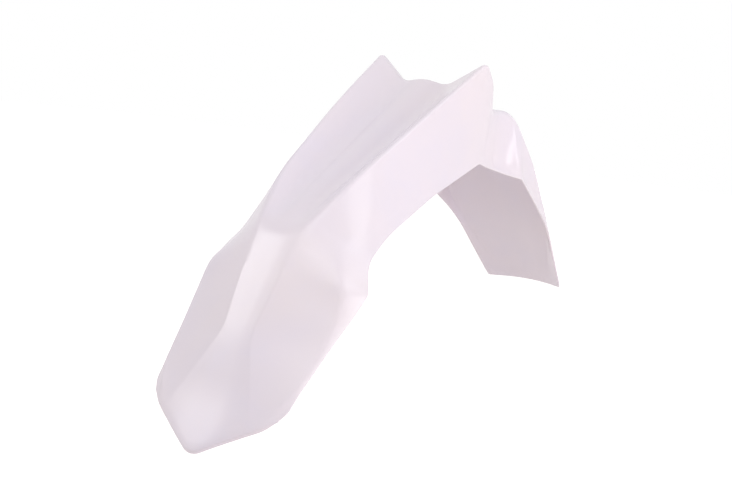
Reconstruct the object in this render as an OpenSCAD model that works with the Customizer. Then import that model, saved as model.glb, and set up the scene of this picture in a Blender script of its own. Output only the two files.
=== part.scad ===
// Motorcycle front mudguard, one injection-moulded piece.
// Forward is -Y, up is +Z, and the centre of the four bolt holes on the pad is the origin.
// The sheet is lofted through sections that stand on a bent centre line.
// Each section has a centre, a valley, a ridge, a shoulder and a free edge.

/* [Moulding] */
// Thickness of the moulded sheet
wall = 2.5; // [2:0.1:2.5]
// Depth of the turned-down lip along the front edge
nose_lip = 5; // [4.5:0.5:8]
// Blend on the ridge lines of the deck
ridge_blend = 6; // [5.5:0.5:8]
// Blend on the fin tips and the corners behind them
fin_blend = 11; // [11:0.5:13]

/* [Centre line] */
// Length of the straight deck line in front of the step
deck_len = 316; // [290:1:340]
// Slope of the deck in degrees
deck_tilt = 36.5; // [35.5:0.5:39.5]
// Length of the straight nose line
nose_len = 271; // [250:1:295]
// Slope of the nose in degrees
nose_tilt = 66.5; // [60:0.5:72]
// Blend where the deck bends into the nose
nose_bend = 42; // [25:1:60]

/* [Nose] */
// Half width at the front corners
nose_half_w = 93; // [92:1:100]
// How far the corners stand back from the tip, along the nose
nose_sweep = 60; // [40:1:66]
// How far the corners lie under the centre line
nose_fall = 12.5; // [10.5:0.5:18]
// Blend on the tip of the front edge
nose_blend = 14; // [6:1:20]
// How far the front corners are eased inwards
corner_ease = 4; // [2:0.5:4]
// Half width of the flat plateau at its narrowest
pinch_half_w = 20; // [16:0.5:30]
// Half width at the widest point
wide_half_w = 115; // [106:1:120]
// Depth of the free edge at the widest point
wide_depth = 49; // [38:1:56]
// Height of the turned-down side band at the widest point
wide_band = 24; // [14:1:28]

/* [Deck and fins] */
// Half width of the free edge behind the notch
throat_half_w = 92; // [84:1:98]
// Half width of the free edge halfway up the deck
side_half_w = 81; // [76:1:88]
// Half width of the channel floor at its rear end
channel_half_w = 31.5; // [26:0.5:38]
// Depth of the channel valleys under the crown of its floor
channel_dip = 5; // [2:0.5:8]
// Height of the ridges over the crown of the channel
ridge_rise = 16.5; // [8:0.5:20]
// Half width across the fin tips
fin_half_w = 80; // [78:0.5:86]
// How far the fin tips reach back over the step
fin_lead = 27; // [20:0.5:27]
// Height of the fin tips over the rear end of the deck
fin_rise = 16; // [12:0.5:16.5]
// Depth of the side wall at the fins
fin_depth = 100; // [88:1:110]

/* [Mount pad] */
// Mount centre to the foot of the step
pad_front = 48; // [42:1:56]
// Mount centre to the bend into the flap
pad_rear = 52; // [46:1:58]
// Height of the step from the pad to the deck
step_rise = 30; // [24:1:30]
// Length of the step
step_run = 24; // [23:1:30]
// Distance between bolt rows, across
bolt_pitch_x = 76; // [60:1:84]
// Distance between bolt rows, along
bolt_pitch_y = 50; // [40:1:56]
// Diameter of the bolt holes
bolt_hole_d = 6.6; // [5.5:0.1:8.4]
// Diameter of the bosses round the holes
boss_d = 18; // [15:0.5:20]
// Height of the bosses under the sheet
boss_h = 4.5; // [2:0.5:8]

/* [Fork recess] */
// Half width between the fork legs
waist_half_w = 60; // [56:1:60]
// Depth of the free edge under the pad
waist_depth = 76; // [68:1:82]
// Half width of the shoulders behind the fork legs
shoulder_half_w = 84.5; // [78:0.5:90]
// Height of the outward flare along the recess edge
flare_band = 10; // [6:0.5:14]

/* [Rear flap] */
// Length of the upper flap
flap_len = 170; // [150:1:190]
// Slope of the upper flap in degrees
flap_tilt = 52; // [46:0.5:58]
// Length of the lower flap
tail_len = 122; // [100:1:140]
// Slope of the lower flap in degrees
tail_tilt = 46; // [40:0.5:50]
// Half width at the lower end
tail_half_w = 59; // [50:1:66]
// Crown of the lower end
tail_crown = 10; // [6:0.5:14]
// How far the lower end bows out between its corners
tail_bow = 4; // [0:0.5:8]
// Blend on the lower corners
tail_blend = 7; // [4:1:12]

/* [Hidden] */

// Number of facets round a bolt hole or boss
hole_facets = 48;
// How far a cutter passes through a face
past = 1;
// Shortest length that still counts as one
tiny = 0.001;
// Most of a run that one blend may take
blend_share = 0.44;
// The same for the first and the last run
end_share = 0.86;

// Sections of the nose, as distances from the tip along the nose line
corner_back = 9;
chin_back = 71;
pinch_back = 141;
plateau_back = 209;
wide_back = 235;
// Sections of the deck, as distances in front of the step
throat_ahead = 245;
mid_ahead = 102;
// Section of the upper flap, behind the pad
flank_back = 75;

// Share of the ridge's half width at which the valley lies
valley_share = 0.45;
// Places of the ridge and shoulder along the front edge, as shares of its length
front_ridge = 0.64;
front_shoulder = 0.8;
// Where the easing of a front corner ends, as a share of the way to the chin
front_ease_end = 0.45;
// Places along the lower end of the flap, as shares of its half width
tail_places = [0, 0.4, 0.68, 0.86];
// Part of the lower corners' blend that is eased inwards
tail_ease = 1 / 3;

// Points of each section: half width, lead along the line, height over the line
chin_ridge = [46.5, 9.5, -5];
chin_shoulder = [91, 22, -13.5];
chin_edge = [96, 21.5, -19];
pinch_ridge = [pinch_half_w, 3.5, -2];
pinch_shoulder = [97, 11.5, -23.5];
pinch_edge = [104.5, 14, -32.5];
plateau_ridge = [pinch_half_w + 6.5, 1, -3];
plateau_shoulder = [97, -8.5, -25.5];
plateau_edge = [wide_half_w - 2.5, -5, -wide_depth + 5.5];
wide_ridge = [pinch_half_w + 8, 6, -4];
wide_shoulder = [wide_half_w - 19, -8.5, -wide_depth + wide_band];
wide_edge = [wide_half_w, -6.5, -wide_depth];
notch_ridge = [34, 6, -5.5];
notch_shoulder = [88, -4.5, -32.5];
notch_edge = [99.5, 5, -49];
throat_ridge = [50.5, 8.5, ridge_rise - 3];
throat_shoulder = [throat_half_w - 11, -13.5, -25.5];
throat_edge = [throat_half_w, -2, -48];
mid_ridge = [68.5, 2, ridge_rise];
mid_shoulder = [side_half_w - 2, -20, -43.5];
mid_edge = [side_half_w, -36, -70];
fin_valley = [channel_half_w, -3.5, -channel_dip];
fin_ridge = [fin_half_w, fin_lead, fin_rise];
fin_shoulder = [fin_half_w - 6.5, fin_lead - 66.5, -fin_depth + 24];
fin_edge = [fin_half_w - 8, fin_lead - 57, -fin_depth];

// Points of each upright section over the pad: half width, distance behind, height
step_ridge = [fin_half_w - 4, 26, step_rise - 4.5];
step_shoulder = [fin_half_w - 9, 22, -waist_depth + 2];
step_edge = [fin_half_w - 9.5, 38, -waist_depth - 10];
foot_ridge = [waist_half_w + 5, 38, 0];
foot_shoulder = [waist_half_w + 5, 38, -waist_depth + 13];
foot_edge = [waist_half_w + 9, 42, -waist_depth + 3];
waist_ridge = [waist_half_w, 6, 0];
waist_shoulder = [waist_half_w + 1, 6, -waist_depth + flare_band];
waist_edge = [waist_half_w + 9.5, 6, -waist_depth];
flare_ridge = [waist_half_w + 1, 4, 0];
flare_shoulder = [waist_half_w + 5, 2, -waist_depth + flare_band - 2];
flare_edge = [waist_half_w + 14.5, 0, -waist_depth - 3.5];
shoulder_ridge = [waist_half_w + 3, 2, -9.5];
shoulder_side = [shoulder_half_w - 4.5, -2, -waist_depth + 3];
shoulder_edge = [shoulder_half_w, -3, -waist_depth - 7];
flank_ridge = [shoulder_half_w - 9, -7, -7];
flank_shoulder = [shoulder_half_w - 5.5, 29, -33];
flank_edge = [shoulder_half_w - 3, 38, -36];
kick_ridge = [shoulder_half_w - 13, -5.5, -6];
kick_shoulder = [shoulder_half_w - 11.5, 3.5, -9.5];
kick_edge = [shoulder_half_w - 11.5, 7.5, -12];

// Distances from the mount centre of two upright sections over the pad
waist_y = 10;
flare_y = 34;

// Straight helpers
function unit(v) = v / max(norm(v), tiny);
function mix(a, b, t) = a + (b - a) * t;
function heading(a) = [0, cos(a), sin(a)];
function upright(a) = [0, -sin(a), cos(a)];

// A point of a section from its half width, lead and height
function seat(at, a, p) = at + [p[0], 0, 0] + p[1] * heading(a) + p[2] * upright(a);

// Corner points of the centre line
crown = [0, -pad_front - step_run, step_rise];
bend = crown - deck_len * heading(deck_tilt);
tip = bend - nose_len * heading(nose_tilt);
flap_top = [0, pad_rear, 0];
kick = flap_top + flap_len * heading(-flap_tilt);
tail = kick + tail_len * heading(-tail_tilt);

// Centre line points of the sections between the corners
function nose_at(back) = tip + back * heading(nose_tilt);
function deck_at(ahead) = crown - ahead * heading(deck_tilt);
function flap_at(back) = flap_top + back * heading(-flap_tilt);

// A section seated on the line: centre, valley, ridge, shoulder, edge
function section(at, a, ridge, shoulder, edge, dip) =
    let (valley = [ridge[0], ridge[1], 0] * valley_share + [0, 0, -dip])
    [at, seat(at, a, valley), seat(at, a, ridge), seat(at, a, shoulder), seat(at, a, edge)];

// The same with a valley of its own
function channelled(at, a, valley, ridge, shoulder, edge) =
    [at, seat(at, a, valley), seat(at, a, ridge), seat(at, a, shoulder), seat(at, a, edge)];

// Front edge, straight from the tip to each corner, which is eased off
function front(back, drop, ends) =
    let (shares = [0, front_ridge * valley_share, front_ridge, front_shoulder])
    concat([for (s = shares) front_point(back, drop, s)], [ends]);
function front_point(back, drop, s) =
    seat(nose_at(back), nose_tilt, [nose_half_w, nose_sweep, -nose_fall] * s - [0, 0, drop]);

// Crowned end of the flap at some distance from its lower end
function flap_end(back, ends) =
    concat([for (s = tail_places) tail_point(back, s)], [ends]);
function tail_point(back, s) =
    let (bow = tail_bow * (1 - s * s))
    seat(tail - back * heading(-tail_tilt), -tail_tilt, [tail_half_w * s, bow, -tail_crown * s * s]);

// Point on the easing of a corner between two straight edges
function eased(a, corner, c, ease) = corner + ease * unit(unit(a - corner) + unit(c - corner));

// Slope that a section has where the deck bends into the nose
bend_tilt = (deck_tilt + nose_tilt) / 2;
// Front corner and lower corner, and the points where their easing ends along the sides
front_corner = front_point(0, 0, 1);
front_side = mix(front_corner, seat(nose_at(chin_back), nose_tilt, chin_edge), front_ease_end);
front_eased = eased(tip, front_corner, front_side, corner_ease);
tail_corner = tail_point(0, 1);
tail_side = tail_point(tail_blend, 1);
tail_eased = eased(tail, tail_corner, tail_side, tail_blend * tail_ease);

// All sections from the nose to the tail
sections = [
    front(0, nose_lip, front_eased - nose_lip * upright(nose_tilt)),
    front(0, 0, front_eased),
    front(corner_back, 0, front_side),
    section(nose_at(chin_back), nose_tilt, chin_ridge, chin_shoulder, chin_edge, 1.5),
    section(nose_at(pinch_back), nose_tilt, pinch_ridge, pinch_shoulder, pinch_edge, 0.5),
    section(nose_at(plateau_back), nose_tilt, plateau_ridge, plateau_shoulder, plateau_edge, 0.5),
    section(nose_at(wide_back), nose_tilt, wide_ridge, wide_shoulder, wide_edge, 0.5),
    section(bend, bend_tilt, notch_ridge, notch_shoulder, notch_edge, channel_dip),
    section(deck_at(throat_ahead), deck_tilt, throat_ridge, throat_shoulder, throat_edge, channel_dip / 2),
    section(deck_at(mid_ahead), deck_tilt, mid_ridge, mid_shoulder, mid_edge, channel_dip),
    channelled(crown, deck_tilt, fin_valley, fin_ridge, fin_shoulder, fin_edge),
    section(mix(crown, [0, -pad_front, 0], 0.5), 0, step_ridge, step_shoulder, step_edge, 1),
    section([0, -pad_front, 0], 0, foot_ridge, foot_shoulder, foot_edge, 0),
    section([0, waist_y, 0], 0, waist_ridge, waist_shoulder, waist_edge, 0),
    section([0, flare_y, 0], 0, flare_ridge, flare_shoulder, flare_edge, 0),
    section(flap_top, 0, shoulder_ridge, shoulder_side, shoulder_edge, 1),
    section(flap_at(flank_back), -flap_tilt, flank_ridge, flank_shoulder, flank_edge, 3),
    section(kick, -(flap_tilt + tail_tilt) / 2, kick_ridge, kick_shoulder, kick_edge, 3),
    flap_end(tail_blend, tail_side),
    flap_end(0, tail_eased)
];

// Blend of each feature line at each section: centre, valley, ridge, shoulder, edge
line_blends = [
    [0, 0, 0, 0, 0],
    [4, 4, 4, 4, 4],
    [4, 4, 4, 4, 8],
    [20, 20, 20, 20, 20],
    [14, 14, 14, 14, 14],
    [14, 14, 14, 14, 14],
    [12, 12, 30, 20, 6],
    [nose_bend, nose_bend, nose_bend, 30, 18],
    [40, 40, 40, 40, 30],
    [60, 60, 60, 60, 20],
    [6, 6, 7, 5, 6],
    [8, 8, 14, 10, 10],
    [6, 6, 14, 20, 20],
    [20, 20, 20, 14, 10],
    [8, 8, 8, 10, 10],
    [14, 14, 10, 4, 4],
    [40, 40, 30, 20, 20],
    [40, 40, 40, 30, 30],
    [4, 4, 4, 4, tail_blend],
    [0, 0, 0, 0, 0]
];

// Blend across each section: centre, valley, ridge, shoulder
cross_blends = [
    [nose_blend, 15, 4, 10],
    [nose_blend, 15, 4, 10],
    [nose_blend, 15, 4, 10],
    [20, 10, 4, 3],
    [8, 6, 4, 4],
    [8, 6, 4, 4],
    [10, 8, ridge_blend, 8],
    [12, 10, ridge_blend, 16],
    [14, 12, ridge_blend, 20],
    [14, 14, ridge_blend, 20],
    [14, 12, fin_blend, 10],
    [14, 12, fin_blend + 2, 10],
    [14, 12, fin_blend + 2, 10],
    [14, 12, 8, 8],
    [14, 12, 8, 8],
    [14, 12, 8, 8],
    [16, 14, 10, 8],
    [16, 14, 10, 5],
    [16, 14, 6, 6],
    [16, 14, 6, 6]
];

// Number of chords in the blend at each section
line_steps = [0, 2, 2, 4, 3, 3, 4, 6, 4, 4, 3, 3, 3, 3, 3, 4, 4, 4, 2, 0];
// Number of chords in the blends across a section, from edge to edge
cross_steps = [0, 3, 4, 3, 2, 3, 4, 3, 0];

// Blend length that a corner has room for
function share(pts, i) = (i == 0 || i == len(pts) - 2) ? end_share : blend_share;
function run(pts, i) = share(pts, i) * norm(pts[i + 1] - pts[i]);
function room(pts, want, i) =
    (i == 0 || i == len(pts) - 1) ? 0 : min(want[i], run(pts, i - 1), run(pts, i));

// Point of the round blend at a corner, from its start at t = 0 to its end at t = 1
function blend(pts, want, i, t) =
    let (d = room(pts, want, i))
    let (a = pts[i] + d * unit(pts[i - 1] - pts[i]))
    let (c = pts[i] + d * unit(pts[i + 1] - pts[i]))
    let (pull = 2 * t * (1 - t) * norm(c - a) / max(2 * d, tiny))
    ((1 - t) * (1 - t) * a + pull * pts[i] + t * t * c) / ((1 - t) * (1 - t) + pull + t * t);

// Chain of straight runs with a blend at each corner
function chain(pts, want, steps) = [
    for (i = [0 : len(pts) - 1])
        for (k = [0 : steps[i]])
            steps[i] == 0 ? pts[i] : blend(pts, want, i, k / steps[i])
];

// One value a section, repeated for each row of its blend
function spread(values) = [for (i = [0 : len(values) - 1]) for (k = [0 : line_steps[i]]) values[i]];

function column(table, j) = [for (row = table) row[j]];

// Feature lines along the whole mudguard, and the cross blends of each row
lines = [for (j = [0 : 4]) chain(column(sections, j), column(line_blends, j), line_steps)];
blends = [for (j = [0 : 3]) spread(column(cross_blends, j))];

// One row of the outer face, from the left edge to the right edge
function mirrored(p) = [-p[0], p[1], p[2]];
function row_points(r) =
    let (half = [for (j = [4 : -1 : 1]) lines[j][r]])
    let (pts = concat([for (p = half) mirrored(p)], [lines[0][r]], [for (i = [3 : -1 : 0]) half[i]]))
    let (side = [for (j = [3 : -1 : 1]) blends[j][r]])
    let (want = concat([0], side, [blends[0][r]], [for (i = [2 : -1 : 0]) side[i]], [0]))
    chain(pts, want, cross_steps);

outer = [for (r = [0 : len(lines[0]) - 1]) row_points(r)];
rows = len(outer);
cols = len(outer[0]);

// Inner face, one wall inside the outer face, where the rim takes its neighbour's direction
function along(i, j) = outer[i + 1][j] - outer[i - 1][j];
function across(i, j) = outer[i][j + 1] - outer[i][j - 1];
function inward(i, j) =
    let (a = min(max(i, 1), rows - 2))
    let (b = min(max(j, 1), cols - 2))
    unit(cross(along(a, b), across(a, b)));
inner = [for (i = [0 : rows - 1]) [for (j = [0 : cols - 1]) outer[i][j] + wall * inward(i, j)]];

// Four corners of a cell as two triangles, mirrored on the left half
function cell(a, b, c, d, left) = left ? [[a, b, c], [a, c, d]] : [[a, b, d], [b, c, d]];
function top_id(i, j) = i * cols + j;
function low_id(i, j) = rows * cols + i * cols + j;

faces_top = [
    for (i = [0 : rows - 2]) for (j = [0 : cols - 2])
        each cell(top_id(i, j), top_id(i + 1, j), top_id(i + 1, j + 1), top_id(i, j + 1), j < cols / 2 - 1)
];
faces_low = [
    for (i = [0 : rows - 2]) for (j = [0 : cols - 2])
        each cell(low_id(i, j), low_id(i, j + 1), low_id(i + 1, j + 1), low_id(i + 1, j), j >= cols / 2 - 1)
];
faces_side = [
    for (i = [0 : rows - 2])
        each concat(
            cell(top_id(i, 0), low_id(i, 0), low_id(i + 1, 0), top_id(i + 1, 0), true),
            cell(top_id(i, cols - 1), top_id(i + 1, cols - 1),
                low_id(i + 1, cols - 1), low_id(i, cols - 1), true))
];
faces_end = [
    for (j = [0 : cols - 2])
        each concat(
            cell(top_id(0, j), top_id(0, j + 1), low_id(0, j + 1), low_id(0, j), true),
            cell(top_id(rows - 1, j), low_id(rows - 1, j),
                low_id(rows - 1, j + 1), top_id(rows - 1, j + 1), true))
];

module sheet() {
    polyhedron(
        points = [for (face = [outer, inner]) each [for (line = face) each line]],
        faces = concat(faces_top, faces_low, faces_side, faces_end));
}

// Puts a copy at each of the four bolt holes
module at_bolts() {
    for (x = [-1, 1])
        for (y = [-1, 1])
            translate([x * bolt_pitch_x / 2, y * bolt_pitch_y / 2, 0])
                children();
}

module bosses() {
    at_bolts()
        translate([0, 0, -wall - boss_h])
            cylinder(d = boss_d, h = boss_h + wall / 2, $fn = hole_facets);
}

module bolt_holes() {
    at_bolts()
        translate([0, 0, -wall - boss_h - past])
            cylinder(d = bolt_hole_d, h = wall + boss_h + 2 * past, $fn = hole_facets);
}

module mudguard() {
    color("gainsboro")
        difference() {
            union() {
                sheet();
                bosses();
            }
            bolt_holes();
        }
}

mudguard();
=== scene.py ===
import math

import bmesh
import bpy
import numpy as np
from mathutils import Matrix, Vector


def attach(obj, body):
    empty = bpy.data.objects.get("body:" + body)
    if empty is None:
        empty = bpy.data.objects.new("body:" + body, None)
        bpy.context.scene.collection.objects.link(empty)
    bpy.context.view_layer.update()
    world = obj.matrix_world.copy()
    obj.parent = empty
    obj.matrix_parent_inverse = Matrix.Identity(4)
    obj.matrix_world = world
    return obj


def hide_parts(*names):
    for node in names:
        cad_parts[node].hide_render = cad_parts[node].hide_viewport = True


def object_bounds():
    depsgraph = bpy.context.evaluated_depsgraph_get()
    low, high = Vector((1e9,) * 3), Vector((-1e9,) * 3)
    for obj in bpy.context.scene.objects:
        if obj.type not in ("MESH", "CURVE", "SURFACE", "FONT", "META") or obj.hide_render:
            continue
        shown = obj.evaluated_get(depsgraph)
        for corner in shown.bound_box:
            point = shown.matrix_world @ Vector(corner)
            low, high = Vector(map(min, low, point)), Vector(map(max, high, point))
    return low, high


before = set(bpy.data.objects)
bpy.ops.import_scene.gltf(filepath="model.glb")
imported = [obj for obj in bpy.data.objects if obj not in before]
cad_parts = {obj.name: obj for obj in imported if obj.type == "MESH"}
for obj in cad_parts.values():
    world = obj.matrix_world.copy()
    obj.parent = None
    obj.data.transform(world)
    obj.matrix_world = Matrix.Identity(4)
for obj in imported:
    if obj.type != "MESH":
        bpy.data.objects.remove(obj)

cad_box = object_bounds()

# Metres in one millimetre: the mudguard is worked out in millimetres and made in metres
MM = 0.001
# Least length that anything is divided by
TINY = 1e-9

# The moulded sheet, and the round blends along its ridges and over its fins
WALL = 2.5
RIDGE_BLEND = 6
FIN_BLEND = 7

# The centre line: the deck and the nose, straight, with a bend between them
DECK_LEN = 316
DECK_TILT = math.radians(36.5)
NOSE_LEN = 268.9
NOSE_TILT = math.radians(66.5)
NOSE_BEND = 42

# The nose
NOSE_HALF_W = 93
NOSE_SWEEP = 60
NOSE_FALL = 12.5
NOSE_BLEND = 17
PINCH_HALF_W = 20
WIDE_HALF_W = 115
WIDE_DEPTH = 49
WIDE_BAND = 24

# The front edge's turned-down lip, in the middle and what is left of it at the corner
NOSE_LIP = 5
LIP_END = 1.2
# The front corner: how far its point is drawn in, and where it ends on the way to the chin
CORNER_EASE = 6
CORNER_SHARE = 0.45

# The deck and the fins
THROAT_HALF_W = 92
SIDE_HALF_W = 81
RIDGE_RISE = 16.5
FIN_HALF_W = 80
FIN_LEAD = 27
FIN_RISE = 13
FIN_DEPTH = 100

# The channel between the ridges, with its depth at the crown, at the throat and between them
CHANNEL_HALF_W = 31.5
CHANNEL_DIP = 7
THROAT_DIP = CHANNEL_DIP / 2
MID_DIP = CHANNEL_DIP + 3

# The flat mount pad, and the step that rises from it to the crown
PAD_FRONT = 48
PAD_REAR = 52
STEP_RISE = 30
STEP_RUN = 24

# The four bolt holes with their chamfered mouths
BOLT_PITCH_X = 76
BOLT_PITCH_Y = 50
BOLT_HOLE_D = 6.6
HOLE_CHAMFER = 0.5

# The bosses under them, with a rounded lower rim and a flared root
BOSS_D = 18
BOSS_H = 4.5
BOSS_ROUND = 0.8
BOSS_FLARE = 1.2

# The recess between the fork legs
WAIST_HALF_W = 60
WAIST_DEPTH = 76
SHOULDER_HALF_W = 84.5
FLARE_BAND = 10

# The rear flap, in two straight lengths
FLAP_LEN = 170
FLAP_TILT = math.radians(52)
TAIL_LEN = 122
TAIL_TILT = math.radians(46)
TAIL_HALF_W = 59
TAIL_CROWN = 10
TAIL_BOW = 4
TAIL_BLEND = 7
TAIL_EASE = TAIL_BLEND / 3

# Places of the sections along the nose, the deck and the flap
CORNER_BACK = 9
CHIN_BACK = 70
PINCH_BACK = 140
PLATEAU_BACK = 207.5
WIDE_BACK = 233.5
THROAT_AHEAD = 245
MID_AHEAD = 102
WAIST_Y = 10
FLARE_Y = 34
FLANK_BACK = 75

# How far the nose's plateau sinks to the level of its ridges, as a share of their depth
PLATEAU_SINK = 0.7
# Where the valley lies, as a share of the ridge's half width
VALLEY_SHARE = 0.45
# Where the lines meet the front edge and the flap's lower end, as shares of the half width there
FRONT_RIDGE_SHARE = 0.64
FRONT_SHARES = (0, FRONT_RIDGE_SHARE * VALLEY_SHARE, FRONT_RIDGE_SHARE, 0.8)
TAIL_SHARES = (0, 0.4, 0.68, 0.86)

# Most of a run that one blend may take, between blends and at either end of a chain
BLEND_SHARE = 0.44
END_SHARE = 0.86

# Fineness of the mesh: chords in a blend, and the longest cell along and across
BLEND_CHORDS = 8
CELL_ALONG = 8
CELL_ACROSS = 9
# Chords round the moulding's rounded free edge
RIM_CHORDS = 6
# Most of the outermost cell that the rounded edge may take
RIM_SHARE = 0.6
# Facets round a bolt hole or boss, and chords in the quarter rounds of a boss's profile
ROUND_FACETS = 96
BOSS_CHORDS = 4
# Edges sharper than this are shaded sharp
CREASE_ANGLE = math.radians(40)


def unit(v):
    """The same direction, or array of directions, with a length of 1."""
    v = np.asarray(v, float)
    length = np.linalg.norm(v, axis=-1, keepdims=True)
    return v / np.maximum(length, TINY)


def heading(tilt):
    """Direction rearwards in the middle plane, rising at this tilt."""
    return np.array([0, math.cos(tilt), math.sin(tilt)])


def upright(tilt):
    """Direction upwards, square to the heading at this tilt."""
    return np.array([0, -math.sin(tilt), math.cos(tilt)])


def seat(at, tilt, point):
    """A point of a section from its half width, lead along the line and height over it."""
    half_width, lead, height = point
    return at + np.array([half_width, 0, 0]) + lead * heading(tilt) + height * upright(tilt)


def pad_at(y):
    """Point in the middle of the mount pad's flat top."""
    return np.array([0, y, 0], float)


# Corner points of the centre line
CROWN = np.array([0, -PAD_FRONT - STEP_RUN, STEP_RISE], float)
BEND = CROWN - DECK_LEN * heading(DECK_TILT)
TIP = BEND - NOSE_LEN * heading(NOSE_TILT)
STEP_FOOT = pad_at(-PAD_FRONT)
FLAP_TOP = pad_at(PAD_REAR)
KICK = FLAP_TOP + FLAP_LEN * heading(-FLAP_TILT)
TAIL = KICK + TAIL_LEN * heading(-TAIL_TILT)


def nose_at(back):
    """Point of the nose's centre line, this far behind its tip."""
    return TIP + back * heading(NOSE_TILT)


def deck_at(ahead):
    """Point of the deck's centre line, this far ahead of the crown."""
    return CROWN - ahead * heading(DECK_TILT)


def section(at, tilt, ridge, shoulder, edge, dip=0.0, valley=None):
    """A section seated on the line: its centre, valley, ridge, shoulder and free edge."""
    if valley is None:
        valley = (ridge[0] * VALLEY_SHARE, ridge[1] * VALLEY_SHARE, -dip)
    return [at] + [seat(at, tilt, p) for p in (valley, ridge, shoulder, edge)]


def flat_section(at, tilt, ridge, shoulder, edge):
    """A section of the nose or its bend, whose middle is a flat plateau between the ridges."""
    low = PLATEAU_SINK * ridge[2]
    middle = (0, 0, low)
    valley = (ridge[0] * VALLEY_SHARE, ridge[1] * VALLEY_SHARE, low)
    return [seat(at, tilt, p) for p in (middle, valley, ridge, shoulder, edge)]


def front_point(back, drop, share):
    """Point of the front edge at a share of its half width, moved back and down by two lengths."""
    fall = NOSE_FALL * share * share
    return seat(nose_at(back), NOSE_TILT, (NOSE_HALF_W * share, NOSE_SWEEP * share, -fall - drop))


def front(back, drop, end):
    """The front edge, falling away from the tip to the corner, where it is eased off."""
    return [front_point(back, drop, share) for share in FRONT_SHARES] + [end]


def tail_point(back, share):
    """Point of the flap's lower end at a share of its half width, moved back up the flap."""
    at = TAIL - back * heading(-TAIL_TILT)
    bow = TAIL_BOW * (1 - share * share)
    return seat(at, -TAIL_TILT, (TAIL_HALF_W * share, bow, -TAIL_CROWN * share * share))


def flap_end(back, end):
    """The crowned lower end of the flap."""
    return [tail_point(back, share) for share in TAIL_SHARES] + [end]


def eased(before, corner, after, ease):
    """A corner's point, drawn in between its two sides."""
    return corner + ease * unit(unit(before - corner) + unit(after - corner))


# Each row below holds a section's five points, how far each point's blend reaches along the part,
# and how far the blends at the centre, valley, ridge and shoulder reach across it
def nose_sections():
    """The nose, from its turned-down lip to its widest point."""
    chin_edge = (96, 21.5, -19)
    corner = front_point(0, 0, 1)
    side = corner + CORNER_SHARE * (seat(nose_at(CHIN_BACK), NOSE_TILT, chin_edge) - corner)
    tip_end = eased(TIP, corner, side, CORNER_EASE)
    tip_cross = (NOSE_BLEND, 15, 4, 10)
    return [
        (front(0, NOSE_LIP, tip_end - LIP_END * upright(NOSE_TILT)), (0, 0, 0, 0, 0), tip_cross),
        (front(0, 0, tip_end), (4, 4, 4, 4, 4), tip_cross),
        (front(CORNER_BACK, 0, side), (4, 4, 4, 4, 8), tip_cross),
        (flat_section(nose_at(CHIN_BACK), NOSE_TILT, (46.5, 9.5, -5), (92, 22, -14.5), chin_edge),
         (20, 20, 20, 20, 20), (20, 10, 2.5, 3)),
        (flat_section(nose_at(PINCH_BACK), NOSE_TILT, (PINCH_HALF_W, 3.5, -2),
                      (99, 12, -26), (104.5, 14, -32.5)),
         (14, 14, 14, 14, 14), (8, 6, 2, 4)),
        (flat_section(nose_at(PLATEAU_BACK), NOSE_TILT, (PINCH_HALF_W + 6.5, 1, -3),
                      (100, -8, -29), (WIDE_HALF_W - 2.5, -5, -WIDE_DEPTH + 5.5)),
         (14, 14, 14, 14, 14), (8, 6, 2.5, 4)),
        (flat_section(nose_at(WIDE_BACK), NOSE_TILT, (PINCH_HALF_W + 8, 6, -4),
                      (WIDE_HALF_W - 19, -8.5, -WIDE_DEPTH + WIDE_BAND),
                      (WIDE_HALF_W, -6.5, -WIDE_DEPTH)),
         (12, 12, 30, 20, 6), (10, 8, RIDGE_BLEND, 6)),
    ]


def deck_sections():
    """The bend behind the nose, the channelled deck and the fin tips."""
    return [
        (flat_section(BEND, (DECK_TILT + NOSE_TILT) / 2, (34, 6, -5.5), (74, -2.5, -30),
                      (99.5, 5, -49)),
         (NOSE_BEND, NOSE_BEND, NOSE_BEND, 30, 18), (12, 10, RIDGE_BLEND, 6)),
        (section(deck_at(THROAT_AHEAD), DECK_TILT, (50.5, 8.5, RIDGE_RISE - 3),
                 (THROAT_HALF_W - 11, -13.5, -25.5), (THROAT_HALF_W, -2, -48),
                 THROAT_DIP),
         (40, 40, 40, 40, 30), (14, 12, RIDGE_BLEND, 8)),
        (section(deck_at(MID_AHEAD), DECK_TILT, (68.5, 2, RIDGE_RISE),
                 (SIDE_HALF_W - 2, -20, -43.5), (SIDE_HALF_W, -36, -70), MID_DIP),
         (60, 60, 60, 60, 20), (14, 14, RIDGE_BLEND, 20)),
        (section(CROWN, DECK_TILT, (FIN_HALF_W, FIN_LEAD, FIN_RISE),
                 (FIN_HALF_W - 6.5, FIN_LEAD - 66.5, -FIN_DEPTH + 24),
                 (FIN_HALF_W - 8, FIN_LEAD - 57, -FIN_DEPTH),
                 valley=(CHANNEL_HALF_W, -3.5, -CHANNEL_DIP)),
         (6, 6, 7, 5, 6), (14, 12, FIN_BLEND, 10)),
    ]


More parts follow.
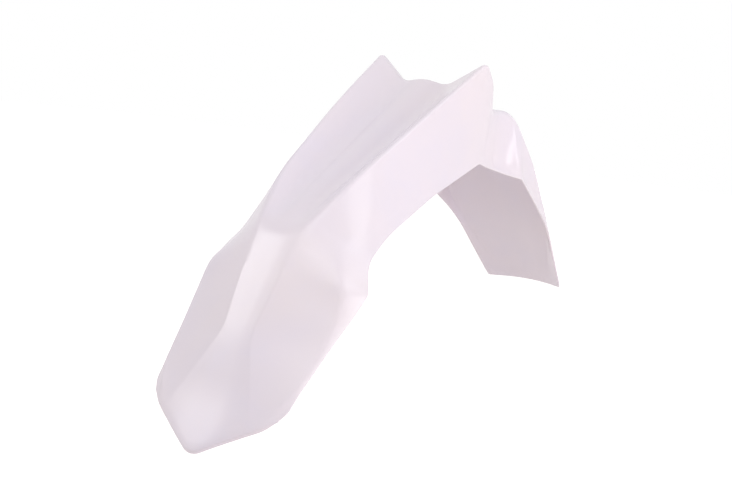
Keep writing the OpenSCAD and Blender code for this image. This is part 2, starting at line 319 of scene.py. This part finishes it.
def pad_sections():
    """The step, its foot, and the flat pad between the fork legs."""
    waist = WAIST_HALF_W
    return [
        (section((CROWN + STEP_FOOT) / 2, 0, (FIN_HALF_W - 4, 26, STEP_RISE - 4.5),
                 (FIN_HALF_W - 9, 22, -WAIST_DEPTH + 2),
                 (FIN_HALF_W - 9.5, 38, -WAIST_DEPTH - 10), 1),
         (8, 8, 14, 10, 10), (14, 12, FIN_BLEND + 2, 10)),
        (section(STEP_FOOT, 0, (waist + 5, 38, 0), (waist + 5, 38, -WAIST_DEPTH + 13),
                 (waist + 9, 42, -WAIST_DEPTH + 3)),
         (6, 6, 14, 20, 20), (14, 12, FIN_BLEND + 2, 10)),
        (section(pad_at(WAIST_Y), 0, (waist, 6, 0),
                 (waist + 1, 6, -WAIST_DEPTH + FLARE_BAND), (waist + 9.5, 6, -WAIST_DEPTH)),
         (20, 20, 20, 14, 10), (14, 12, 8, 8)),
        (section(pad_at(FLARE_Y), 0, (waist + 1, 4, 0),
                 (waist + 5, 2, -WAIST_DEPTH + FLARE_BAND - 2),
                 (waist + 14.5, 0, -WAIST_DEPTH - 3.5)),
         (8, 8, 8, 10, 10), (14, 12, 8, 8)),
    ]


def flap_sections():
    """The rear flap from the bend behind the pad to its lower end."""
    shoulder = SHOULDER_HALF_W
    side = tail_point(TAIL_BLEND, 1)
    end = eased(TAIL, tail_point(0, 1), side, TAIL_EASE)
    return [
        (section(FLAP_TOP, 0, (WAIST_HALF_W + 3, 2, -9.5), (shoulder - 4.5, -2, -WAIST_DEPTH + 3),
                 (shoulder, -3, -WAIST_DEPTH - 7), 1),
         (14, 14, 10, 4, 4), (14, 12, 8, 8)),
        (section(FLAP_TOP + FLANK_BACK * heading(-FLAP_TILT), -FLAP_TILT,
                 (shoulder - 9, -7, -7), (shoulder - 5.5, 29, -33),
                 (shoulder - 3, 38, -36), 3),
         (40, 40, 30, 20, 20), (16, 14, 10, 8)),
        (section(KICK, -(FLAP_TILT + TAIL_TILT) / 2, (shoulder - 13, -5.5, -6),
                 (shoulder - 11.5, 3.5, -9.5), (shoulder - 11.5, 7.5, -12), 3),
         (40, 40, 40, 30, 30), (16, 14, 10, 5)),
        (flap_end(TAIL_BLEND, side), (4, 4, 4, 4, TAIL_BLEND), (16, 14, 6, 6)),
        (flap_end(0, end), (0, 0, 0, 0, 0), (16, 14, 6, 6)),
    ]


def reaches(points, wants):
    """Length that each corner's blend takes of the runs beside it."""
    runs = np.linalg.norm(np.diff(points, axis=0), axis=1)
    shares = np.full(len(runs), BLEND_SHARE)
    shares[[0, -1]] = END_SHARE
    free = shares * runs
    inner = [min(wants[i], free[i - 1], free[i]) for i in range(1, len(points) - 1)]
    return [0.0] + inner + [0.0]


def blend_curve(before, corner, after, reach, t):
    """Point of a corner's round blend, an arc that runs from t = 0 to t = 1."""
    start = corner + reach * unit(before - corner)
    end = corner + reach * unit(after - corner)
    pull = 2 * t * (1 - t) * np.linalg.norm(end - start) / max(2 * reach, TINY)
    ends = (1 - t) ** 2 + t ** 2
    return ((1 - t) ** 2 * start + pull * corner + t * t * end) / (ends + pull)


def straight(start, end, cells):
    """Points of a straight run cut into cells, without its start."""
    return [start + (end - start) * k / cells for k in range(1, cells + 1)]


def chain(points, wants, cells):
    """Straight runs with a round blend at each corner; cells counts the cells of each run."""
    points = np.asarray(points, float)
    reach = reaches(points, wants)
    out = [points[0]]
    for i in range(1, len(points) - 1):
        bend = (*points[i - 1:i + 2], reach[i])
        out += straight(out[-1], blend_curve(*bend, 0), cells[i - 1])
        out += [blend_curve(*bend, k / BLEND_CHORDS) for k in range(1, BLEND_CHORDS + 1)]
    out += straight(out[-1], points[-1], cells[-1])
    return np.array(out)


def spread(values, cells):
    """One value a corner, held through its blend and shared along the runs."""
    out = [values[0]]
    for i in range(1, len(values)):
        step = (values[i] - values[i - 1]) / cells[i - 1]
        out += [values[i - 1] + step * k for k in range(1, cells[i - 1] + 1)]
        if i < len(values) - 1:
            out += [values[i]] * BLEND_CHORDS
    return np.array(out)


def outer_face():
    """Grid of points over the whole outer face, from nose to tail and from edge to edge."""
    rows = nose_sections() + deck_sections() + pad_sections() + flap_sections()
    sections = np.array([points for points, _, _ in rows], float)
    blends_along = np.array([along for _, along, _ in rows], float)
    blends_across = np.array([across for _, _, across in rows], float)
    line_count = sections.shape[1]
    runs = np.linalg.norm(np.diff(sections, axis=0), axis=2).max(axis=1)
    cells = [1] + [max(2, math.ceil(run / CELL_ALONG)) for run in runs[1:-1]] + [1]
    lines = np.stack([chain(sections[:, j], blends_along[:, j], cells) for j in range(line_count)], 1)
    wants = np.stack([spread(blends_across[:, j], cells) for j in range(line_count - 1)], 1)
    spans = np.linalg.norm(np.diff(lines, axis=1), axis=2).max(axis=0)
    half_cells = [max(2, math.ceil(span / CELL_ACROSS)) for span in spans[:-1]] + [1]
    across = half_cells[::-1] + half_cells
    mirror = np.array([-1, 1, 1])
    grid = []
    for line, want in zip(lines, wants):
        points = np.vstack([line[:0:-1] * mirror, line])
        sides = np.concatenate([[0], want[:0:-1], want, [0]])
        grid.append(chain(points, sides, across))
    return np.array(grid)


def inward_normals(grid):
    """Unit normals of a grid of points, towards the wheel; the rim takes its neighbours'."""
    along = grid[2:, 1:-1] - grid[:-2, 1:-1]
    across = grid[1:-1, 2:] - grid[1:-1, :-2]
    return np.pad(unit(np.cross(along, across)), ((1, 1), (1, 1), (0, 0)), mode="edge")


def untangled(inner, outer, rounds=40):
    """Spreads inner points that pass each other behind a tight blend."""
    for _ in range(rounds):
        tangled = np.zeros(inner.shape[:2], bool)
        for axis in (0, 1):
            passed = (np.diff(inner, axis=axis) * np.diff(outer, axis=axis)).sum(-1) <= 0
            pad_before = ((1, 0), (0, 0)) if axis == 0 else ((0, 0), (1, 0))
            pad_after = ((0, 1), (0, 0)) if axis == 0 else ((0, 0), (0, 1))
            tangled |= np.pad(passed, pad_before) | np.pad(passed, pad_after)
        if not tangled[1:-1, 1:-1].any():
            break
        near = (inner[:-2, 1:-1] + inner[2:, 1:-1] + inner[1:-1, :-2] + inner[1:-1, 2:]) / 4
        mask = tangled[1:-1, 1:-1]
        inner[1:-1, 1:-1][mask] = near[mask]
    return inner


def edge_loop(rows, cols):
    """Row and column of every point round the rim of a grid, once each, in order."""
    top = [(0, j) for j in range(cols)]
    right = [(i, cols - 1) for i in range(1, rows)]
    bottom = [(rows - 1, j) for j in range(cols - 2, -1, -1)]
    left = [(i, 0) for i in range(rows - 2, 0, -1)]
    return top + right + bottom + left


def rounded_rim(outer, inner):
    """Draws both faces back from the free edge and returns the rings of a round rim between them."""
    rows, cols = outer.shape[:2]
    loop = edge_loop(rows, cols)
    i, j = np.array(loop).T
    inside = (np.clip(i, 1, rows - 2), np.clip(j, 1, cols - 2))
    middle = (outer[i, j] + inner[i, j]) / 2
    thick = outer[i, j] - inner[i, j]
    tangent = unit(np.roll(middle, -1, 0) - np.roll(middle, 1, 0))
    outwards = unit(np.cross(tangent, unit(thick)))
    reach_in = middle - (outer[inside] + inner[inside]) / 2
    outwards *= np.sign((outwards * reach_in).sum(1, keepdims=True))
    depth = np.minimum(WALL / 2, RIM_SHARE * (outwards * reach_in).sum(1))[:, None]
    outer[i, j] -= depth * outwards
    inner[i, j] -= depth * outwards
    middle -= depth * outwards
    rings = []
    for k in range(1, RIM_CHORDS):
        turn = math.pi * k / RIM_CHORDS
        rings.append(middle + math.cos(turn) * thick / 2 + math.sin(turn) * depth * outwards)
    return loop, rings


def sheet_mesh(outer):
    """Closed mesh of the moulded sheet: outer face, inner face and rounded rim."""
    rows, cols = outer.shape[:2]
    inner = untangled(outer + WALL * inward_normals(outer), outer)
    loop, rings = rounded_rim(outer, inner)
    bm = bmesh.new()
    top = [[bm.verts.new(p * MM) for p in line] for line in outer]
    low = [[bm.verts.new(p * MM) for p in line] for line in inner]
    for i in range(rows - 1):
        for j in range(cols - 1):
            bm.faces.new((top[i][j], top[i + 1][j], top[i + 1][j + 1], top[i][j + 1]))
            bm.faces.new((low[i][j], low[i][j + 1], low[i + 1][j + 1], low[i + 1][j]))
    bands = [[top[i][j] for i, j in loop]]
    bands += [[bm.verts.new(p * MM) for p in ring] for ring in rings]
    bands += [[low[i][j] for i, j in loop]]
    for upper, under in zip(bands, bands[1:]):
        for k in range(len(loop)):
            n = (k + 1) % len(loop)
            bm.faces.new((upper[k], upper[n], under[n], under[k]))
    bmesh.ops.recalc_face_normals(bm, faces=bm.faces)
    return bm


def turned(bm, profile, at):
    """Adds a closed turned solid on a bolt axis; the profile runs from axis to axis, (radius, z)."""
    rings = []
    for radius, z in profile:
        if radius == 0:
            rings.append([bm.verts.new((at[0] * MM, at[1] * MM, z * MM))])
            continue
        ring = []
        for k in range(ROUND_FACETS):
            turn = 2 * math.pi * k / ROUND_FACETS
            x, y = at[0] + radius * math.cos(turn), at[1] + radius * math.sin(turn)
            ring.append(bm.verts.new((x * MM, y * MM, z * MM)))
        rings.append(ring)
    for lower, upper in zip(rings, rings[1:]):
        for k in range(ROUND_FACETS):
            n = (k + 1) % ROUND_FACETS
            if len(lower) == 1:
                bm.faces.new((lower[0], upper[n], upper[k]))
            elif len(upper) == 1:
                bm.faces.new((lower[k], lower[n], upper[0]))
            else:
                bm.faces.new((lower[k], lower[n], upper[n], upper[k]))


def boss_profile():
    """Boss from its flat underside to its root inside the sheet."""
    radius, low = BOSS_D / 2, -WALL - BOSS_H
    turns = [math.pi / 2 * k / BOSS_CHORDS for k in range(BOSS_CHORDS + 1)]
    rim = [(radius - BOSS_ROUND * (1 - math.sin(turn)), low + BOSS_ROUND * (1 - math.cos(turn)))
           for turn in turns]
    root = [(radius + BOSS_FLARE * (1 - math.cos(turn)), -WALL - BOSS_FLARE * (1 - math.sin(turn)))
            for turn in turns]
    return [(0, low)] + rim + root + [(radius + BOSS_FLARE, -WALL / 2), (0, -WALL / 2)]


def hole_profile():
    """Cutter of a bolt hole, with a chamfered mouth at each end."""
    radius, low = BOLT_HOLE_D / 2, -WALL - BOSS_H
    wide = radius + 2 * HOLE_CHAMFER
    return [(0, low - HOLE_CHAMFER), (wide, low - HOLE_CHAMFER), (radius, low + HOLE_CHAMFER),
            (radius, -HOLE_CHAMFER), (wide, HOLE_CHAMFER), (0, HOLE_CHAMFER)]


def placed(bm, name):
    """Makes an object of a finished mesh and puts it in the scene."""
    mesh = bpy.data.meshes.new(name)
    bm.to_mesh(mesh)
    bm.free()
    piece = bpy.data.objects.new(name, mesh)
    bpy.context.scene.collection.objects.link(piece)
    return piece


def at_bolts(profile, name):
    """One object holding a turned solid at each of the four bolts."""
    bm = bmesh.new()
    for x in (-0.5, 0.5):
        for y in (-0.5, 0.5):
            turned(bm, profile, (x * BOLT_PITCH_X, y * BOLT_PITCH_Y))
    bmesh.ops.recalc_face_normals(bm, faces=bm.faces)
    return placed(bm, name)


def cut_or_joined(piece, tool, operation):
    """Applies an exact boolean and removes the tool."""
    step = piece.modifiers.new(operation.lower(), "BOOLEAN")
    step.operation = operation
    step.solver = "EXACT"
    step.object = tool
    bpy.context.view_layer.update()
    done = bpy.data.meshes.new_from_object(piece.evaluated_get(bpy.context.evaluated_depsgraph_get()))
    piece.modifiers.clear()
    piece.data = done
    bpy.data.objects.remove(tool)


def mudguard_moulding():
    """The whole moulding: the sheet, the four bosses and the four bolt holes."""
    moulding = placed(sheet_mesh(outer_face()), "mudguard_moulding")
    cut_or_joined(moulding, at_bolts(boss_profile(), "bosses"), "UNION")
    cut_or_joined(moulding, at_bolts(hole_profile(), "bolt_holes"), "DIFFERENCE")
    moulding.data.shade_smooth()
    edges = moulding.modifiers.new("boss edges", "EDGE_SPLIT")
    edges.split_angle = CREASE_ANGLE
    return moulding


class Paint:
    """A socket of a material's node tree, on which sums are written as Python expressions."""

    def __init__(self, tree, socket):
        self.tree = tree
        self.socket = socket

    def node(self, kind, settings=None, **sockets):
        """A new node from its type, its settings and the values or links of its sockets.

        A socket goes by its name, or by the letter s and its number where names repeat.
        """
        made = self.tree.nodes.new(kind)
        for key, value in (settings or {}).items():
            setattr(made, key, value)
        for key, value in sockets.items():
            name = key.replace("_", " ")
            target = made.inputs[int(key[1:])] if key[1:].isdigit() else made.inputs[name]
            if isinstance(value, Paint):
                self.tree.links.new(value.socket, target)
            else:
                target.default_value = value
        return made

    def out(self, made, name=0):
        """A node's output, by its name or number."""
        return Paint(self.tree, made.outputs[name])

    def maths(self, operation, a, b):
        """A Math node on two values."""
        made = self.node("ShaderNodeMath", {"operation": operation}, s0=a, s1=b)
        return self.out(made)

    def __add__(self, other):
        return self.maths("ADD", self, other)

    def __radd__(self, other):
        return self.maths("ADD", other, self)

    def __sub__(self, other):
        return self.maths("SUBTRACT", self, other)

    def __rsub__(self, other):
        return self.maths("SUBTRACT", other, self)

    def __mul__(self, other):
        return self.maths("MULTIPLY", self, other)

    def __rmul__(self, other):
        return self.maths("MULTIPLY", other, self)

    def either(self, other):
        """1 where this or the other is 1."""
        return self.maths("MAXIMUM", self, other)

    def noise(self, scale, detail, roughness=0.5):
        """Noise over this position, from 0 to 1."""
        return self.out(self.node("ShaderNodeTexNoise", None, Vector=self, Scale=scale, Detail=detail,
                                  Roughness=roughness), "Fac")

    def swing(self, most):
        """This noise as a swing about 0, of up to half of most either way."""
        return most * (self - 0.5)

    def band(self, low, high):
        """0 below low, 1 above high, and smooth between."""
        made = self.node("ShaderNodeMapRange", {"interpolation_type": "SMOOTHSTEP"},
                         Value=self, From_Min=low, From_Max=high)
        return self.out(made)

    def between(self, first, second):
        """Mix of two colours, with this value as the factor."""
        made = self.node("ShaderNodeMix", {"data_type": "RGBA"}, s0=self, s6=first, s7=second)
        return self.out(made, 2)


def new_material(name):
    """An empty material, with a Paint to make its nodes from."""
    material = bpy.data.materials.new(name)
    material.use_nodes = True
    tree = material.node_tree
    tree.nodes.clear()
    return material, Paint(tree, None)


# Pale plastic with a faint pink and lavender cast
PLASTIC = (0.85, 0.772, 0.843, 1)
PLASTIC_WARM = (0.86, 0.777, 0.828, 1)
PLASTIC_COOL = (0.83, 0.762, 0.853, 1)
PLASTIC_ROUGHNESS = 0.24
PLASTIC_IOR = 1.49
# How close the flow clouds, the flow streaks, the grain and the orange peel lie, in waves a metre
CLOUD_SCALE = 7
STREAK_SCALE = 34
GRAIN_SCALE = 1400
PEEL_SCALE = 160
# How much the clouds, the streaks and the grain change the roughness
CLOUD_SHEEN = 0.06
STREAK_SHEEN = 0.05
GRAIN_SHEEN = 0.04
# Most of the plain colour that the streaks bring back
STREAK_TINT = 0.5
# The grain's share of the relief, the rest being orange peel, and the relief's strength and depth
GRAIN_SHARE = 0.6
RELIEF_STRENGTH = 0.12
RELIEF_DEPTH = 0.0004


def moulded_plastic():
    """Satin moulded plastic: a fine moulded grain, faint flow clouds and an uneven sheen."""
    material, paint = new_material("moulded plastic")
    place = paint.out(paint.node("ShaderNodeTexCoord"), "Object")
    clouds = place.noise(CLOUD_SCALE, 3)
    streaks = place.noise(STREAK_SCALE, 4, 0.6)
    grain = place.noise(GRAIN_SCALE, 2)
    orange_peel = place.noise(PEEL_SCALE, 2)
    tint = clouds.band(0.32, 0.68).between(PLASTIC_COOL, PLASTIC_WARM)
    colour = (STREAK_TINT * streaks.band(0.35, 0.65)).between(tint, PLASTIC)
    sheen = clouds.swing(CLOUD_SHEEN) + streaks.swing(STREAK_SHEEN) + grain.swing(GRAIN_SHEEN)
    roughness = PLASTIC_ROUGHNESS + sheen
    height = GRAIN_SHARE * grain + (1 - GRAIN_SHARE) * orange_peel
    bump = paint.out(paint.node("ShaderNodeBump", None, Strength=RELIEF_STRENGTH,
                                Distance=RELIEF_DEPTH, Height=height))
    plastic = paint.node("ShaderNodeBsdfPrincipled", None, Base_Color=colour, Roughness=roughness,
                         Normal=bump, IOR=PLASTIC_IOR)
    surface = paint.out(plastic)
    paint.node("ShaderNodeOutputMaterial", None, Surface=surface)
    return material


WHITE = (1, 1, 1, 1)

# The faintly warm floor: its gap under the part, its size in metres, and its glow where it is seen
FLOOR_GAP = 0.12
FLOOR_SIZE = 30.0
FLOOR_COLOUR = (0.96, 0.91, 0.88, 1)
FLOOR_GLOW = 0.74


def seen_only(paint):
    """1 for what the camera sees, straight, mirrored or through the object, and 0 for light."""
    path = paint.node("ShaderNodeLightPath")
    direct = paint.out(path, "Is Camera Ray")
    mirrored = paint.out(path, "Is Glossy Ray")
    through = paint.out(path, "Is Transmission Ray")
    return direct.either(mirrored).either(through)


def floor_white():
    """Pale floor that looks white to the camera and still takes the object's shadow."""
    material, paint = new_material("studio floor")
    matt = paint.out(paint.node("ShaderNodeBsdfDiffuse", None, Color=FLOOR_COLOUR))
    glow = paint.out(paint.node("ShaderNodeEmission", None, Color=WHITE, Strength=FLOOR_GLOW))
    both = paint.out(paint.node("ShaderNodeAddShader", None, s0=matt, s1=glow))
    shown = paint.out(paint.node("ShaderNodeMixShader", None, s0=seen_only(paint), s1=matt, s2=both))
    paint.node("ShaderNodeOutputMaterial", None, Surface=shown)
    return material


def studio_floor():
    """A wide level floor under the part."""
    low = Vector(cad_box[0]).z - FLOOR_GAP
    bm = bmesh.new()
    half = FLOOR_SIZE / 2
    corners = [(-half, -half), (half, -half), (half, half), (-half, half)]
    bm.faces.new([bm.verts.new((x, y, low)) for x, y in corners])
    floor = placed(bm, "studio_floor")
    floor.data.materials.append(floor_white())


# Strength of the world's light on the part
WORLD_LIGHT = 0.42


def studio_world():
    """Soft light from all round, and the white that is seen behind the part."""
    world = bpy.data.worlds.new("studio")
    bpy.context.scene.world = world
    world.use_nodes = True
    tree = world.node_tree
    tree.nodes.clear()
    paint = Paint(tree, None)
    seen = seen_only(paint)
    strength = WORLD_LIGHT + (1 - WORLD_LIGHT) * seen
    background = paint.out(paint.node("ShaderNodeBackground", None, Color=WHITE, Strength=strength))
    paint.node("ShaderNodeOutputWorld", None, Surface=background)


def direction(azimuth, elevation):
    """Unit vector towards a viewer or a lamp: azimuth 0 is in front, 90 on the +X side."""
    turn, rise = math.radians(azimuth), math.radians(elevation)
    return Vector((math.sin(turn) * math.cos(rise), -math.cos(turn) * math.cos(rise), math.sin(rise)))


# The point that every lamp faces
AIM = Vector((0, -0.12, -0.12))
# Soft square lamps: name, azimuth, elevation, distance and width in metres, and watts
LAMPS = [
    ("side_softbox", 88, 10, 2.6, 1.5, 27),
    ("high_side_softbox", 82, 50, 2.6, 1.3, 11),
    ("left_softbox", -49, 29, 2.6, 0.95, 14),
    ("near_softbox", 0, 45, 1.0, 0.6, 1.5),
]


def soft_lamps():
    """The studio's lamps, each turned to the part."""
    for name, azimuth, elevation, distance, size, watts in LAMPS:
        light = bpy.data.lights.new(name, "AREA")
        light.shape = "SQUARE"
        light.size = size
        light.energy = watts
        lamp = bpy.data.objects.new(name, light)
        towards = direction(azimuth, elevation)
        lamp.location = AIM + towards * distance
        lamp.rotation_euler = towards.to_track_quat("Z", "Y").to_euler()
        bpy.context.scene.collection.objects.link(lamp)


# The camera: where it stands, its turns in degrees, and its lens and picture width in millimetres
CAMERA_AT = Vector((1.0988, -1.7003, -0.0142))
CAMERA_AZIMUTH = 35.38
CAMERA_ELEVATION = 4.91
CAMERA_ROLL = 6.87
CAMERA_LENS = 78.69
CAMERA_FILM = 36


def photo_camera():
    """The camera at the photograph's viewing angle."""
    settings = bpy.data.cameras.new("photo_camera")
    settings.sensor_width = CAMERA_FILM
    settings.lens = CAMERA_LENS
    camera = bpy.data.objects.new("photo_camera", settings)
    turn = Matrix.Rotation(math.radians(CAMERA_AZIMUTH), 4, "Z")
    tilt = Matrix.Rotation(math.radians(90 - CAMERA_ELEVATION), 4, "X")
    roll = Matrix.Rotation(math.radians(CAMERA_ROLL), 4, "Z")
    camera.matrix_world = Matrix.Translation(CAMERA_AT) @ turn @ tilt @ roll
    bpy.context.scene.collection.objects.link(camera)
    bpy.context.scene.camera = camera


def main():
    """Makes the moulding, its studio and the camera."""
    bpy.context.scene.view_settings.view_transform = "Standard"
    moulding = mudguard_moulding()
    moulding.data.materials.clear()
    moulding.data.materials.append(moulded_plastic())
    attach(moulding, "root")
    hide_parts("mudguard")
    studio_floor()
    studio_world()
    soft_lamps()
    photo_camera()


main()
